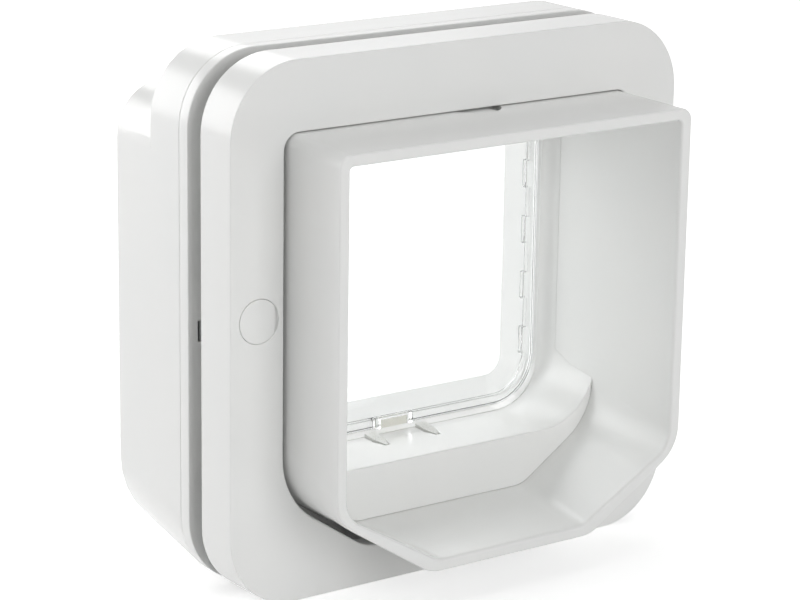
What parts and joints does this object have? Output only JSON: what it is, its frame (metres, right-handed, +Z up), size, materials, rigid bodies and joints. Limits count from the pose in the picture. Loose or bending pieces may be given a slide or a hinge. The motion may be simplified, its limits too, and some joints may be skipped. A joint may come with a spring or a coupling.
{
  "type": "cat flap",
  "caption": "Two-way cat flap for a door: square outer frame, inner unit, hooded tunnel through both, clear swinging flap, rising lock catches and a battery door.",
  "frame": {"origin": "middle of the part's box in plan, on the surface that it stands on", "axes": "+X to the right seen from outdoors, +Y from outdoors through the door into the house, +Z up"},
  "size_m": [0.21, 0.12, 0.21],
  "materials": {
    "white_shell": "glossy white moulded plastic",
    "grey_plastic": "satin light grey moulded plastic",
    "clear_plastic": "clear moulded plastic",
    "magnet": "plain grey magnet bar",
    "steel": "zinc-plated steel",
    "copper": "enamelled copper winding",
    "board": "green circuit board",
    "battery": "plain printed cell jacket"
  },
  "bodies": {
    "root": {"outer_frame": "white_shell", "screw_cap_left": "white_shell", "screw_cap_right": "white_shell", "frame_screw_left": "steel", "frame_screw_right": "steel", "tunnel_hood": "white_shell", "hood_plug": "grey_plastic", "sill_liner": "white_shell", "flap_frame": "white_shell", "hinge_rod": "steel", "sill_magnet": "magnet", "aerial_coil": "copper", "lock_solenoid": "steel", "inner_front_plate": "white_shell", "inner_housing": "white_shell", "housing_screws": "steel", "circuit_board": "board", "indicator_lens": "clear_plastic", "battery_tray": "grey_plastic", "battery_contacts": "steel", "battery_1": "battery", "battery_2": "battery", "battery_3": "battery", "battery_4": "battery"},
    "flap": {"flap_panel": "clear_plastic", "flap_magnet": "magnet", "magnet_clip": "clear_plastic"},
    "lock": {"catch_bar": "grey_plastic", "catch_left": "grey_plastic", "catch_right": "grey_plastic"},
    "mode_button": {"mode_button": "grey_plastic"},
    "battery_door": {"battery_door": "white_shell"}
  },
  "joints": [
    {"name": "flap_swing", "type": "hinge", "parent": "root", "child": "flap", "pos_m": [0, 0.0219, 0.1675], "axis": [1, 0, 0], "range_deg": [-80, 80]},
    {"name": "lock_lift", "type": "slide", "parent": "root", "child": "lock", "axis": [0, 0, 1], "range_m": [0, 0.0034]},
    {"name": "mode_press", "type": "slide", "parent": "root", "child": "mode_button", "axis": [0, -1, 0], "range_m": [0, 0.0008], "stiffness_N_per_m": 300, "springref_m": -0.001},
    {"name": "battery_door_hinge", "type": "hinge", "parent": "root", "child": "battery_door", "pos_m": [0.0937, 0.0586, 0.1588], "axis": [1, 0, 0], "range_deg": [0, 95]}
  ]
}
